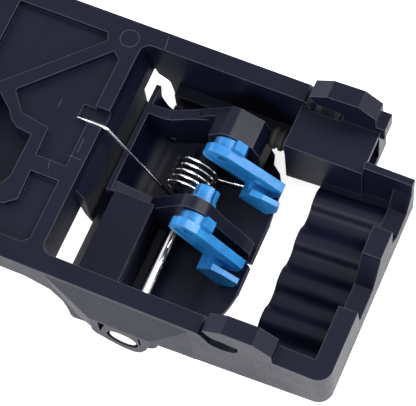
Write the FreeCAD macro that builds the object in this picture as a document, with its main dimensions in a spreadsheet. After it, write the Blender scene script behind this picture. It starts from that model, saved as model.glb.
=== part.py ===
import FreeCAD, Part
import math
import os
import re
import Sketcher

# A sprung latch release handle, lying with its finished face down and its fixing side up.
# X runs along the housing to the grip end, Y along the pivot shaft, Z up to the rim plane.
# The origin is under the middle of the housing, at the height of the lowest bosses.

SIZES = [
    # housing shell
    ("length", 232.0, "housing, end to end"),
    ("width", 130.3, "housing, side to side"),
    ("rim", 9.0, "width of the flat rim"),
    ("end_depth", 32.3, "grip end, from the rim plane down to the finished face"),
    ("show_slope", 0.13, "rise of the finished face towards the grip end"),
    ("skirt_depth", 16.0, "depth of the skirt round the mounting plate"),
    ("skirt_wall", 3.0, "wall of the skirt and of the well's left side"),
    ("plate_web", 6.0, "thickness of the mounting plate over its ribs"),
    ("recess_depth", 3.5, "depth of the recesses between the ribs"),
    ("tub_floor", 2.5, "floor of the tub under the plate's window"),
    ("well_inset", 142.4, "left side of the well, from the grip end"),
    ("nose_inset", 129.6, "left end of the deep side walls, from the grip end"),
    ("well_corner", 5.0, "corner radius of the well"),
    ("end_corner", 7.0, "outer corner radius at the grip end"),
    # grip
    ("grip_inset", 43.9, "free edge of the grooved grip, from the grip end"),
    ("grip_wall", 3.0, "thickness of the grooved grip"),
    ("groove_start", 3.4, "first finger groove, from the front side of the well"),
    ("groove_end", 3.25, "last finger groove, from the corner block"),
    ("groove_depth", 6.0, "height of the ridges between the fingers"),
    ("low_wall", 21.0, "depth of the notches in the end wall"),
    # middle of the mechanism
    ("back_room", 56.15, "middle of the mechanism, from the back side of the well"),
    # corner block beside the grip
    ("block_inset", 62.4, "left side of the corner block, from the grip end"),
    ("block_end", 23.9, "right side of the corner block, from the grip end"),
    ("block_face", 34.5, "front of the corner block, behind the mechanism's middle"),
    ("block_drop", 5.0, "top of the corner block under the rim plane"),
    ("block_wall", 3.0, "walls of the corner block"),
    ("corner_cut", 21.4, "length of the cut at the back corner"),
    ("corner_wall", 3.4, "thin wall beside the cut corner"),
    # snap lugs on the rim
    ("lug_left", 58.6, "free end of a snap lug, from the grip end"),
    ("lug_right", 25.8, "root of a snap lug, from the grip end"),
    ("lug_height", 14.4, "top of a snap lug above the rim"),
    ("lug_gap", 9.9, "depth of the slot under a snap lug, from the rim plane"),
    # pivot
    ("shaft_inset", 99.9, "pivot axis, from the grip end"),
    ("shaft_depth", 38.0, "pivot axis under the rim plane"),
    ("shaft_radius", 2.75, "pivot shaft"),
    ("shaft_play", 0.1, "clearance of the shaft in its bores"),
    ("boss_radius", 16.0, "round feet of the bosses that hold the shaft"),
    ("foot_proud", 1.0, "round feet beyond the housing sides"),
    ("boss_proud", 5.0, "bosses beyond the housing sides"),
    ("head_radius", 7.0, "head of the shaft"),
    ("head_thick", 2.3, "thickness of the head"),
    ("head_sink", 0.6, "head below the end of its boss"),
    ("head_play", 1.0, "gap round the head"),
    ("ring_radius", 6.2, "push-on retaining ring"),
    ("ring_thick", 1.2, "thickness of the retaining ring"),
    ("shaft_tail", 1.6, "shaft beyond the retaining ring"),
    # paddle
    ("paddle_gap", 9.0, "left end of the paddle, from the left side of the well"),
    ("paddle_right", 40.0, "right edge of the paddle, from the pivot axis"),
    ("paddle_sag", 13.5, "lowest line of the paddle under the pivot axis"),
    ("paddle_skin", 2.5, "thickness of the paddle's skin"),
    ("side_play", 0.9, "gap between the paddle and the housing sides"),
    ("ledge_width", 5.7, "ledge along the back side wall"),
    ("ledge_left", 27.1, "ledge, left of the pivot axis"),
    ("ledge_right", 38.5, "ledge, right of the pivot axis"),
    ("ledge_height", 4.5, "top of the ledge above the pivot axis"),
    ("panel_height", 18.0, "counterweight box above the pivot axis"),
    ("panel_right", 9.2, "right side of the box, left of the pivot axis"),
    ("cheek_front", 10.6, "front face of the front cheek, before the mechanism's middle"),
    ("cheek_thick", 6.3, "thickness of a cheek"),
    ("barrel_radius", 6.2, "barrel round the shaft"),
    ("back_cheek", 28.7, "front face of the back cheek, behind the mechanism's middle"),
    ("back_cheek_thick", 14.8, "length of the back cheek's boss"),
    ("boss_right", 27.4, "right side of the back cheek's boss, from the pivot axis"),
    # rod clips
    ("hub_x", 12.8, "clip axis, right of the pivot axis"),
    ("hub_z", 26.0, "clip axis above the pivot axis"),
    ("hub_radius", 5.8, "snap hub of a clip"),
    ("hub_play", 0.15, "clearance of the snap hub in its cheek"),
    ("hub_past", 8.0, "snap hub beyond its cheek"),
    ("hook_grip", 0.7, "snap hooks beyond the hub"),
    ("hook_long", 1.8, "length of the snap hooks"),
    ("slot_wide", 1.3, "slots between the snap fingers"),
    ("rod_radius", 2.3, "rod that the clip takes"),
    ("front_tilt", 50.0, "slope of the front clip's arm below level"),
    ("back_tilt", 35.5, "slope of the back clip's arm below level"),
    ("clip_gap", 0.3, "clip flange to its cheek"),
    ("flange_radius", 7.0, "round flange of the hub"),
    ("flange_thick", 4.9, "thickness of the flange"),
    ("arm_thick", 4.5, "thickness of the arm"),
    ("arm_half", 7.5, "half the width of the arm"),
    ("arm_tail", 2.1, "round tail of the arm, behind the hub"),
    ("arm_long", 33.5, "arm from the hub to the end of its fork"),
    ("fork_start", 18.4, "fork's web, from the hub"),
    ("fork_web", 8.4, "length of the fork's web"),
    ("prong_thick", 2.7, "thickness of the outer prong"),
    # return spring
    ("wire_radius", 0.72, "spring wire"),
    ("coil_radius", 10.4, "middle of the coil's wire"),
    ("coil_left", 2.0, "middle of the coil, left of the pivot axis"),
    ("coil_up", 1.2, "middle of the coil above the pivot axis"),
    ("coil_start", 5.6, "first turn of the coil, behind the mechanism's middle"),
    ("coil_pitch", 3.2, "from one turn to the next"),
    ("coil_turns", 5.0, "full turns of the coil"),
    ("leg_reach", 27.5, "spring leg along the paddle, from the pivot axis"),
    ("leg_slope", 7.3, "slope of that leg"),
    ("hook_length", 15.0, "hook of the other leg over the plate"),
    ("bend_radius", 3.0, "bend of the hook"),
    ("seat_gap", 0.05, "wire to the surfaces it bears on"),
    # rubber stop
    ("stop_radius", 5.2, "rubber stop"),
    ("stop_gap", 0.3, "rubber stop to the paddle at rest"),
    ("stop_y", 42.0, "rubber stop, behind the mechanism's middle"),
    ("stop_groove", 0.9, "grooves round the rubber stop"),
    ("stem_radius", 2.6, "stem of the rubber stop"),
]

os.makedirs("parts", exist_ok=True)
doc = FreeCAD.newDocument("ReleaseHandle")
sheet = doc.addObject("Spreadsheet::Sheet", "Sizes")
for row, (alias, size, note) in enumerate(SIZES, start=1):
    sheet.set(f"A{row}", note)
    sheet.set(f"B{row}", str(size))
    sheet.setAlias(f"B{row}", alias)
doc.recompute()
ALIASES = {alias for alias, size, note in SIZES}

# Places that many features share, as formulas of the sheet's sizes.
END = "(length / 2)"
RIM = "(shaft_depth + boss_radius)"
SIDE = "(width / 2)"
INNER = "(width / 2 - rim)"
AXIS_X = f"({END} - shaft_inset)"
AXIS_Z = "boss_radius"
HUB_X = f"({AXIS_X} + hub_x)"
HUB_Z = f"({AXIS_Z} + hub_z)"
WELL = f"({END} - well_inset)"
BOSS_END = "(width / 2 + boss_proud)"
SEAT = f"({BOSS_END} - head_sink - head_thick)"
MIDDLE = f"({INNER} - back_room)"
BLOCK = f"({MIDDLE} + block_face)"
NOSE = f"({END} - nose_inset)"
LEFT = "(well_inset - shaft_inset - paddle_gap)"
FRONT_CHEEK = f"({MIDDLE} - cheek_front)"
BACK_CHEEK = f"({MIDDLE} + back_cheek)"
BACK_END = f"({BACK_CHEEK} + back_cheek_thick)"
STOP_Z = f"({AXIS_Z} + 19)"
BOSS_RIGHT = f"({AXIS_X} + boss_right)"
COIL_Y = f"({MIDDLE} + coil_start)"
HOOK_Y = f"({COIL_Y} + 4.8)"
HOOK_END = f"({WELL} + bend_radius * 0.7 - hook_length)"


def value(formula):
    """The number that a formula of the sheet's sizes gives."""
    return float(sheet.evalExpression(formula))


def bound(formula):
    """The same formula as a binding to the sheet's cells."""
    return re.sub(r"[a-z_]+", lambda m: f"Sizes.{m.group(0)}" if m.group(0) in ALIASES else m.group(0), formula)


def show(x):
    """Height of the finished face at a place along the housing."""
    return f"({RIM} - end_depth - show_slope * ({END} - ({x})))"


def new_body(name):
    body = doc.addObject("PartDesign::Body", name)
    body.Label = name
    return body


def new_sketch(body, name, plane, level, shapes):
    """A sketch on an origin plane, moved along the plane's axis to a level."""
    sketch = body.newObject("Sketcher::SketchObject", name)
    origin_plane = [f for f in body.Origin.OriginFeatures if f.Role == f"{plane}_Plane"][0]
    sketch.AttachmentSupport = [(origin_plane, "")]
    sketch.MapMode = "FlatFace"
    along = f"-({level})" if plane == "XZ" else level
    sketch.setExpression("AttachmentOffset.Base.z", bound(along))
    for shape in shapes:
        if shape[0] == "circle":
            add_circle(sketch, *shape[1:])
        else:
            add_outline(sketch, shape)
    return sketch


def bind(sketch, kind, where, formula):
    index = sketch.addConstraint(Sketcher.Constraint(kind, *where, value(formula)))
    sketch.setExpression(f"Constraints[{index}]", bound(formula))


def add_circle(sketch, x, y, radius):
    centre = FreeCAD.Vector(value(x), value(y), 0)
    edge = sketch.addGeometry(Part.Circle(centre, FreeCAD.Vector(0, 0, 1), value(radius)), False)
    bind(sketch, "DistanceX", (-1, 1, edge, 3), x)
    bind(sketch, "DistanceY", (-1, 1, edge, 3), y)
    bind(sketch, "Radius", (edge,), radius)


def add_outline(sketch, corners):
    """Closed outline: a corner with a third formula starts an arc that rises by it over a level chord."""
    spots = [FreeCAD.Vector(value(corner[0]), value(corner[1]), 0) for corner in corners]
    first = sketch.GeometryCount
    count = len(spots)
    ends = []
    for index, (spot, corner) in enumerate(zip(spots, corners)):
        following = spots[(index + 1) % count]
        if len(corner) == 2:
            sketch.addGeometry(Part.LineSegment(spot, following), False)
            ends.append((1, 2))
        else:
            sketch.addGeometry(level_arc(spot, following, value(corner[2])), False)
            turns_left = (value(corner[2]) > 0) == (following.x < spot.x)
            ends.append((1, 2) if turns_left else (2, 1))
    for index, corner in enumerate(corners):
        here = first + index
        following = (index + 1) % count
        tail, head = ends[index]
        sketch.addConstraint(Sketcher.Constraint("Coincident", here, head, first + following, ends[following][0]))
        bind(sketch, "DistanceX", (-1, 1, here, tail), corner[0])
        bind(sketch, "DistanceY", (-1, 1, here, tail), corner[1])
        if len(corner) > 2:
            chord = f"(({corners[following][0]}) - ({corner[0]}))"
            rise = f"({corner[2]})"
            bind(sketch, "Radius", (here,), f"abs({chord} * {chord} / 8 / {rise} + {rise} / 2)")


def level_arc(start, end, rise):
    chord = abs(end.x - start.x)
    radius = abs(chord * chord / 8 / rise + rise / 2)
    centre = FreeCAD.Vector((start.x + end.x) / 2, start.y + rise - math.copysign(radius, rise), 0)
    angles = sorted((math.atan2(spot.y - centre.y, spot.x - centre.x) % (2 * math.pi)) for spot in (start, end))
    circle = Part.Circle(centre, FreeCAD.Vector(0, 0, 1), radius)
    return Part.ArcOfCircle(circle, angles[0], angles[1])


def box(low_x, high_x, low_y, high_y):
    return [(low_x, low_y), (high_x, low_y), (high_x, high_y), (low_x, high_y)]


def add(body, name, plane, low, high, *shapes):
    """A pad between two levels along the plane's axis."""
    level = high if plane == "XZ" else low
    sketch = new_sketch(body, f"{name}_outline", plane, level, shapes)
    pad = body.newObject("PartDesign::Pad", name)
    pad.Profile = sketch
    pad.setExpression("Length", bound(f"{high} - ({low})"))
    return settle(pad)


def cut(body, name, plane, low, high, *shapes):
    """A pocket between two levels along the plane's axis."""
    level = low if plane == "XZ" else high
    sketch = new_sketch(body, f"{name}_outline", plane, level, shapes)
    before = body.Tip.Shape.Volume
    pocket = body.newObject("PartDesign::Pocket", name)
    pocket.Profile = sketch
    pocket.setExpression("Length", bound(f"{high} - ({low})"))
    settle(pocket)
    assert pocket.Shape.Volume < before, f"{name} cuts nothing"
    return pocket


def revolve(body, name, plane, level, axis, outline):
    sketch = new_sketch(body, f"{name}_outline", plane, level, [outline])
    turned = body.newObject("PartDesign::Revolution", name)
    turned.Profile = sketch
    turned.ReferenceAxis = (sketch, [axis])
    turned.Angle = 360.0
    return settle(turned)


def settle(feature):
    doc.recompute()
    assert "Invalid" not in feature.State and "Error" not in feature.State, f"{feature.Name} failed"
    return feature


def rounded(body, name, radius, picks):
    """A fillet on the edges of the last feature that a test picks."""
    base = body.Tip
    names = [f"Edge{n}" for n, edge in enumerate(base.Shape.Edges, start=1) if picks(edge)]
    assert names, f"{name} finds no edge"
    fillet = body.newObject("PartDesign::Fillet", name)
    fillet.Base = (base, names)
    fillet.setExpression("Radius", bound(radius))
    return settle(fillet)


def runs_along(edge, axis):
    """Whether an edge is a straight line along the X, Y or Z axis."""
    if not isinstance(edge.Curve, Part.Line):
        return False
    direction = edge.Curve.Direction
    return abs(abs(direction["XYZ".index(axis)]) - 1) < 1e-6


def near(edge, axis, formula, reach=0.05):
    """Whether the middle of an edge has a given place along an axis."""
    return abs(edge.CenterOfMass["XYZ".index(axis)] - value(formula)) < reach


def from_end(distance):
    return f"({END} - {distance})"


def below(depth):
    return f"({RIM} - {depth})"


def make_housing():
    body = new_body("housing")
    shell(body)
    mounting_plate(body)
    left_wall(body)
    grip(body)
    corner_block(body)
    nose_feet(body)
    for side in (-1, 1):
        snap_lug(body, side)
        shaft_boss(body, side)
    return body


def shell(body):
    """Outer box with its sloping finished face, hollowed to a well with broad rims."""
    nose = NOSE
    outline = [
        (f"-{END}", RIM),
        (f"-{END}", below("skirt_depth")),
        (f"{nose} - 18.9", below("skirt_depth")),
        (f"{nose} - 7.3", below("(skirt_depth + 5.6)")),
        (f"{nose} - 4.8", below("(skirt_depth + 10.8)")),
        (f"{nose} - 2.3", below("(skirt_depth + 16)")),
        (nose, show(nose)),
        (END, show(END)),
        (END, RIM),
    ]
    add(body, "outer_block", "XZ", f"-{SIDE}", SIDE, outline)
    cut(body, "well", "XY", "0", RIM, box(WELL, from_end("rim"), f"-{INNER}", INNER))
    rounded(body, "well_corners", "well_corner",
            lambda e: runs_along(e, "Z") and near(e, "X", WELL))
    rounded(body, "end_corner_front", "end_corner",
            lambda e: runs_along(e, "Z") and near(e, "X", END) and near(e, "Y", f"-{SIDE}"))


def mounting_plate(body):
    """Ribbed plate left of the well: recesses between raised ribs, and a hollow underside."""
    under = below("plate_web")
    floor = below("recess_depth")
    left = f"(-{END} + 26)"
    edge = f"({WELL} - 7.1)"
    cut(body, "plate_underside", "XY", below("skirt_depth"), under,
        box(f"-{END} + skirt_wall", f"{WELL} - skirt_wall", f"-{SIDE} + skirt_wall", f"{SIDE} - skirt_wall"))
    upper = [
        (left, f"{INNER} - 1"),
        (left, f"{INNER} - 52"),
        (f"{edge} - 44", f"{INNER} - 40"),
        (f"{edge} - 9", f"{INNER} - 5"),
        (f"{edge} - 11", f"{INNER} - 1"),
    ]
    middle = [
        (f"{edge} - 4", f"{INNER} - 9"),
        (edge, f"{INNER} - 12"),
        (edge, f"-{INNER} + 42"),
        (f"{edge} - 15.2", f"-{INNER} + 42"),
        (f"{edge} - 15.6", f"{INNER} - 56"),
        (f"{edge} - 30.5", f"{INNER} - 53.5"),
        (f"{edge} - 38", f"{INNER} - 44.5"),
        (f"{edge} - 37.5", f"{INNER} - 43"),
    ]
    lower = [
        (edge, f"-{INNER} + 34"),
        (f"{edge} - 14", f"-{INNER} + 34"),
        (f"{edge} - 13.6", f"-{INNER} + 19"),
        (f"{edge} - 19", f"-{INNER} + 14.5"),
        (left, f"-{INNER} + 14.5"),
        (left, f"-{INNER} + 1"),
        (f"{edge} - 3", f"-{INNER} + 1"),
        (edge, f"-{INNER} + 4"),
    ]
    cut(body, "plate_recesses", "XY", floor, RIM, upper, middle, lower)
    tub = [
        (f"{edge} - 19", f"{INNER} - 59.5"),
        (f"{edge} - 19", f"-{INNER} + 27.5"),
        (f"{edge} - 22.5", f"-{INNER} + 20.5"),
        (f"{left} + 1.5", f"-{INNER} + 20.5"),
        (f"{left} + 1.5", f"{INNER} - 57"),
        (f"{edge} - 44.5", f"{INNER} - 43.5"),
        (f"{edge} - 31.5", f"{INNER} - 56"),
    ]
    add(body, "window_tub", "XY", below("skirt_depth"), f"{under} + 1", tub)
    window = [
        (f"{edge} - 21.6", f"{INNER} - 62"),
        (f"{edge} - 21.6", f"-{INNER} + 28.3"),
        (f"{edge} - 24", f"-{INNER} + 23.3"),
        (f"{left} + 4", f"-{INNER} + 23.3"),
        (f"{left} + 4", f"{INNER} - 62"),
        (f"{edge} - 44.5", f"{INNER} - 48"),
        (f"{edge} - 36.8", f"{INNER} - 54.3"),
        (f"{edge} - 33.6", f"{INNER} - 58.5"),
        (f"{edge} - 29.4", f"{INNER} - 61.2"),
    ]
    cut(body, "window_pocket", "XY", below("(skirt_depth - tub_floor)"), RIM, window)
    drain = [
        (f"{left} + 4", f"-{INNER} + 23.3"),
        (f"{edge} - 29", f"-{INNER} + 23.3"),
        (f"{edge} - 32", f"-{INNER} + 29.5"),
        (f"{left} + 4", f"-{INNER} + 29.5"),
    ]
    cut(body, "tub_drain", "XY", below("(skirt_depth + 1)"), below("(skirt_depth - tub_floor - 1)"), drain)
    seat = f"({RIM} - 2 * wire_radius - recess_depth / 6)"
    cut(body, "leg_seat", "XY", seat, RIM,
        box(f"{HOOK_END} - 0.6", WELL, f"{HOOK_Y} - 1.3", f"{HOOK_Y} + 1.5"))
    cut(body, "leg_notch", "XY", f"{under} + 1", RIM,
        box(f"{HOOK_END} - 0.6", WELL, f"{HOOK_Y} + 1.5", f"{HOOK_Y} + 8"))


def left_wall(body):
    """Left wall of the well below the plate, and the apron that shields the gap beside the paddle."""
    add(body, "left_wall", "XY", below("(skirt_depth + 10.8)"), below("(skirt_depth - 1)"),
        box(f"{WELL} - skirt_wall", WELL, f"-{INNER} - 1", f"{INNER} + 1"))
    apron = [
        (f"{WELL} - 0.6", below("(skirt_depth - 9)")),
        (f"{WELL} + 3.6", below("(skirt_depth - 2)")),
        (f"{WELL} + 3.6", below("(skirt_depth + 20.5)")),
        (f"{WELL} + 5.8", below("(skirt_depth + 26.5)")),
        (f"{WELL} + 3.4", below("(skirt_depth + 26.5)")),
        (f"{WELL} + 0.9", below("(skirt_depth + 18)")),
        (f"{WELL} - 0.6", below("(skirt_depth + 9)")),
    ]
    add(body, "apron", "XZ", f"{MIDDLE} - 21", f"{MIDDLE} + 44", apron)
    over = [
        (f"{WELL} - 0.6", below("(skirt_depth - 9)")),
        (f"{WELL} + 3.6", below("(skirt_depth - 2)")),
        (f"{WELL} + 3.6", below("(skirt_depth + 8)")),
        (f"{WELL} - 0.6", below("(skirt_depth + 8)")),
    ]
    add(body, "apron_top", "XZ", f"{MIDDLE} + 43", f"{INNER} + 1", over)
    rib = [
        (f"{NOSE} - 10", below("(skirt_depth + 6)")),
        (f"{NOSE} - 7.8", below("(skirt_depth + 12.9)")),
        (f"{NOSE} - 3", below("(skirt_depth + 16.3)")),
        (f"{NOSE} + 1.4", below("(skirt_depth + 24.5)")),
        (f"{NOSE} + 1.4", below("(skirt_depth + 30)")),
        (f"{NOSE} + 6", below("(skirt_depth + 30)")),
        (f"{NOSE} + 6", below("(skirt_depth + 6)")),
    ]
    add(body, "nose_rib", "XZ", INNER, f"{INNER} + skirt_wall", rib)


def grip(body):
    """Grooved grip that the fingers close round, and the notched end wall over it."""
    edge = from_end("grip_inset")
    foot = from_end("rim / 2")
    front = f"(-{INNER} - rim / 3)"
    back = f"({BLOCK} + corner_wall / 2)"
    pitch = f"(({BLOCK} - groove_end + {INNER} - groove_start) / 4)"
    middle = f"({show(edge)} + grip_wall + groove_depth / 2)"
    ridges = [(front, middle)]
    for number in range(8):
        sign = "-" if number % 2 == 0 else ""
        place = f"(-{INNER} + groove_start + {number} * {pitch} / 2)"
        ridges.append((place, middle, f"{sign}groove_depth / 2"))
    ridges.append((f"({BLOCK} - groove_end)", middle))
    ridges.append((back, middle))
    under = f"{middle} - grip_wall"
    outline = list(ridges)
    for index in range(len(ridges) - 1, -1, -1):
        rise = ridges[index - 1][2:] if index else ()
        outline.append((ridges[index][0], under) + rise)
    sketch = new_sketch(body, "grip_outline", "YZ", edge, [outline])
    pad = body.newObject("PartDesign::Pad", "grooved_grip")
    pad.Profile = sketch
    pad.UseCustomVector = True
    pad.setExpression("Direction.x", "1")
    pad.setExpression("Direction.y", "0")
    pad.setExpression("Direction.z", bound("show_slope"))
    pad.setExpression("Length", bound(f"{foot} - ({edge})"))
    settle(pad)
    wall_low = from_end("rim")
    back_notch = [
        (f"{BLOCK} + 1", f"{RIM} + 1"),
        (f"{BLOCK} + 1", below("(low_wall / 2)")),
        (f"{BLOCK} - 5", below("low_wall")),
        (f"{BLOCK} - 16.5", below("low_wall")),
        (f"{BLOCK} - 23", below("(low_wall - 6)")),
        (f"{BLOCK} - 23", f"{RIM} + 1"),
    ]
    front_notch = [
        (f"{MIDDLE} - 2.5", f"{RIM} + 1"),
        (f"{MIDDLE} - 2.5", below("2")),
        (f"{MIDDLE} - 11.5", below("(low_wall - 4)")),
        (f"{MIDDLE} - 27.5", below("(low_wall - 4)")),
        (f"{MIDDLE} - 29.5", f"{RIM} + 1"),
    ]
    cut(body, "end_wall_notches", "YZ", wall_low, f"{END} + 1", back_notch, front_notch)


def corner_block(body):
    """Hollow block beside the grip, the cut corner next to it and the ledge left of it."""
    left = from_end("block_inset")
    right = from_end("block_end")
    top = below("block_drop")
    behind = f"({BLOCK} + 1 + corner_wall)"
    outline = [(left, show(left)), (right, show(right)), (right, top), (left, top)]
    add(body, "block", "XZ", BLOCK, f"{INNER} + rim / 2", outline)
    thin = [(right, show(right)), (f"{END} - 0.5", show(f"{END} - 0.5")), (f"{END} - 0.5", RIM), (right, RIM)]
    add(body, "thin_wall", "XZ", f"{BLOCK} + 1", behind, thin)
    cut(body, "back_corner", "XY", "0", f"{RIM} + 1",
        box(from_end("corner_cut"), f"{END} + 1", behind, f"{SIDE} + 1"))
    cut(body, "back_corner_below", "XY", "0", below("2 * block_drop"), box(right, f"{END} + 1", behind, f"{SIDE} + 1"))
    inside = [
        (f"{left} + block_wall", f"{show(left)} + 2 * block_wall"),
        (f"{right} + 3", f"{show(right)} + 2 * block_wall"),
        (f"{right} + 3", f"{top} - block_wall"),
        (f"{left} + block_wall", f"{top} - block_wall"),
    ]
    cut(body, "block_hollow", "XZ", behind, f"{INNER} - 0.5", inside)
    cut(body, "stop_hole", "YZ", f"{left} - 1", f"{left} + block_wall + 0.5",
        ("circle", f"{MIDDLE} + stop_y", STOP_Z, "stem_radius"))
    start = f"({AXIS_X} - ledge_left)"
    finish = f"({AXIS_X} + ledge_right)"
    ledge = [(start, show(start)), (finish, show(finish)),
             (finish, f"{AXIS_Z} + ledge_height"), (start, f"{AXIS_Z} + ledge_height")]
    add(body, "ledge", "XZ", f"{INNER} - ledge_width", f"{INNER} + 1", ledge)


def snap_lug(body, side):
    """Springy lug on the rim, free at its left end over a slot through the side wall."""
    word = "front" if side < 0 else "back"
    low, high = (f"-{SIDE}", f"-{INNER}") if side < 0 else (INNER, SIDE)
    left = from_end("lug_left")
    right = from_end("lug_right")
    outline = [
        (left, below("1.5")),
        (left, f"{RIM} + lug_height / 2"),
        (f"{left} + 9", f"{RIM} + lug_height - 1"),
        (f"{right} - 8.6", f"{RIM} + lug_height"),
        (f"{right} - 0.2", f"{RIM} + lug_height - 6.4"),
        (right, f"{RIM} - 1"),
    ]
    add(body, f"{word}_lug", "XZ", low, high, outline)
    slot = [
        (f"{left} - 4.4", f"{RIM} + 1"),
        (f"{left} - 1.6", below("lug_gap * 0.1")),
        (f"{left} + 0.2", below("lug_gap * 0.44")),
        (f"{left} + 1.8", below("lug_gap * 0.8")),
        (f"{left} + 4.6", below("lug_gap * 0.97")),
        (f"{left} + 7.6", below("lug_gap")),
        (f"{left} + 10.6", below("lug_gap * 0.94")),
        (f"{left} + 14", below("lug_gap * 0.79")),
        (f"{left} + 16.4", below("lug_gap * 0.4")),
        (f"{left} + 16.7", f"{RIM} + 0.8"),
        (f"{left} + 8.3", f"{RIM} + 1.6"),
        (f"{left} + 4.7", f"{RIM} + 1.6"),
        (f"{left} + 2.2", f"{RIM} + 3.2"),
        (f"{left} + 0.7", f"{RIM} + 6.2"),
        (f"{left} - 1", f"{RIM} + 6.6"),
    ]
    cut(body, f"{word}_lug_slot", "XZ", f"{low} - 1", f"{high} + 1", slot)


def shaft_boss(body, side):
    """Boss on a side wall that swells out of it, with the shaft's bore and the recess of its head or ring."""
    word = "front" if side < 0 else "back"
    low, high = (f"-{BOSS_END}", f"-{INNER}") if side < 0 else (INNER, BOSS_END)
    face = [
        at("-15.4", "14"),
        at("-15.8", "-3"),
        at("-14.1", "-6.4"),
        at("-12.6", "-6.8"),
        at("-7.5", "-9.9"),
        at("-3", "-12"),
        at("1", "-12.8"),
        at("4.4", "-12.6"),
        at("7.2", "-10.9"),
        at("9.2", "-7.8"),
        at("11.8", "-2.3"),
        at("13.9", "6"),
        at("15.5", "14"),
    ]
    add(body, f"{word}_boss", "XZ", low, high, face)
    swell(body, word, side)
    foot_low, foot_high = (f"-{SIDE} - foot_proud", f"-{INNER}") if side < 0 else (INNER, f"{SIDE} + foot_proud")
    add(body, f"{word}_boss_foot", "XZ", foot_low, foot_high, ("circle", AXIS_X, AXIS_Z, "boss_radius"))
    reach = "(ledge_width + 1)"
    cut(body, f"{word}_bore", "XZ", f"{low} - {reach}", f"{high} + {reach}",
        ("circle", AXIS_X, AXIS_Z, "shaft_radius + shaft_play"))
    low, high = (f"-{BOSS_END} - 1", f"-{SEAT}") if side < 0 else (SEAT, f"{BOSS_END} + 1")
    cut(body, f"{word}_head_recess", "XZ", low, high,
        ("circle", AXIS_X, AXIS_Z, "head_radius + head_play"))
    low, high = (f"-{BOSS_END} - 1", f"-{BOSS_END} + 3") if side < 0 else (f"{BOSS_END} - 3", f"{BOSS_END} + 1")
    wedge = [at("-11.3", "12.6"), at("-11.4", "-0.7"), at("-7.7", "11.6"), at("-7.7", "12.6")]
    slit = [at("8.6", "11.4"), at("8.9", "2.2"), at("10", "1.6"), at("9.8", "11.4")]
    cut(body, f"{word}_boss_recesses", "XZ", low, high, wedge, slit)


def swell(body, word, side):
    """The side wall's outer face runs out gently to the face of the boss."""
    sign = "-" if side < 0 else ""
    at_wall = [at("-28", "-8"), at("-39.5", "shaft_depth - 0.6"), at("35.5", "shaft_depth - 0.6"), at("35.5", "-4")]
    at_face = [at("-15.4", "1"), at("-15.4", "14"), at("15.5", "14"), at("15.5", "1")]
    wide = new_sketch(body, f"{word}_swell_wall", "XZ", f"{sign}({SIDE} - 0.5)", [at_wall])
    narrow = new_sketch(body, f"{word}_swell_face", "XZ", f"{sign}{BOSS_END}", [at_face])
    loft = body.newObject("PartDesign::AdditiveLoft", f"{word}_swell")
    loft.Profile = wide
    loft.Sections = [narrow]
    loft.Ruled = True
    settle(loft)
    low, high = (f"-{BOSS_END} - 1", f"-{SIDE}") if side < 0 else (SIDE, f"{BOSS_END} + 1")
    under = [at("15.5", "14"), at("36.5", "-3.2"), at("36.5", "-7.8"), at("9.2", "-7.8"), at("11.8", "-2.3"), at("13.9", "6")]
    cut(body, f"{word}_swell_trim", "XZ", low, high, under)


def nose_feet(body):
    """Lower edge of the deep side walls left of the bosses."""
    outline = [
        (f"{NOSE} - 0.9", below("42")),
        (f"{NOSE} - 0.8", below("50.4")),
        (f"{NOSE} + 0.6", below("52.4")),
        (f"{NOSE} + 16", below("49.8")),
        (f"{NOSE} + 16", below("42")),
    ]
    add(body, "front_nose_foot", "XZ", f"-{SIDE}", f"-{INNER}", outline)
    add(body, "back_nose_foot", "XZ", INNER, SIDE, outline)


def at(x, z):
    """A corner given from the pivot axis."""
    return (f"{AXIS_X} + ({x})", f"{AXIS_Z} + ({z})")


def make_paddle():
    """Swinging paddle: a curved skin with a box at its left, two cheeks and a shaft barrel."""
    body = new_body("paddle")
    front = f"(-{INNER} + side_play)"
    back = f"({INNER} - ledge_width - side_play)"
    skin(body, front, back)
    front_box(body, front)
    cheeks(body)
    edges(body, back)
    return body


def skin(body, front, back):
    outline = [
        at(f"-{LEFT}", "panel_height"),
        at(f"-{LEFT} - 1", "panel_height / 3"),
        at(f"-{LEFT} + 2.5", "-paddle_sag / 2 + 0.7"),
        at(f"-{LEFT} + 12.5", "-paddle_sag + 2"),
        at("0", "-paddle_sag"),
        at("paddle_right / 2", "-paddle_sag + 2.5"),
        at("paddle_right", "-paddle_sag + 8.3"),
        at("paddle_right - 0.6", "-paddle_sag + 8.3 + paddle_skin"),
        at("paddle_right / 2", "-paddle_sag + 2.5 + paddle_skin"),
        at("0", "-paddle_sag + paddle_skin"),
        at(f"-{LEFT} + 13.2", "-paddle_sag + 2 + paddle_skin"),
        at(f"-{LEFT} + 2.3 + paddle_skin", "-paddle_sag / 2 + 0.3 + paddle_skin"),
        at(f"-{LEFT} - 1 + paddle_skin", "panel_height / 3"),
        at(f"-{LEFT} + paddle_skin", "panel_height"),
    ]
    add(body, "skin", "XZ", front, back, outline)
    low = value(f"{AXIS_Z} + panel_height")
    right = value(f"{AXIS_X} + paddle_right - 2")

    def bend_line(edge):
        middle = edge.CenterOfMass
        return runs_along(edge, "Y") and middle.z < low - 1 and middle.x < right

    rounded(body, "skin_bends", "paddle_skin * 3.5", bend_line)


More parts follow.
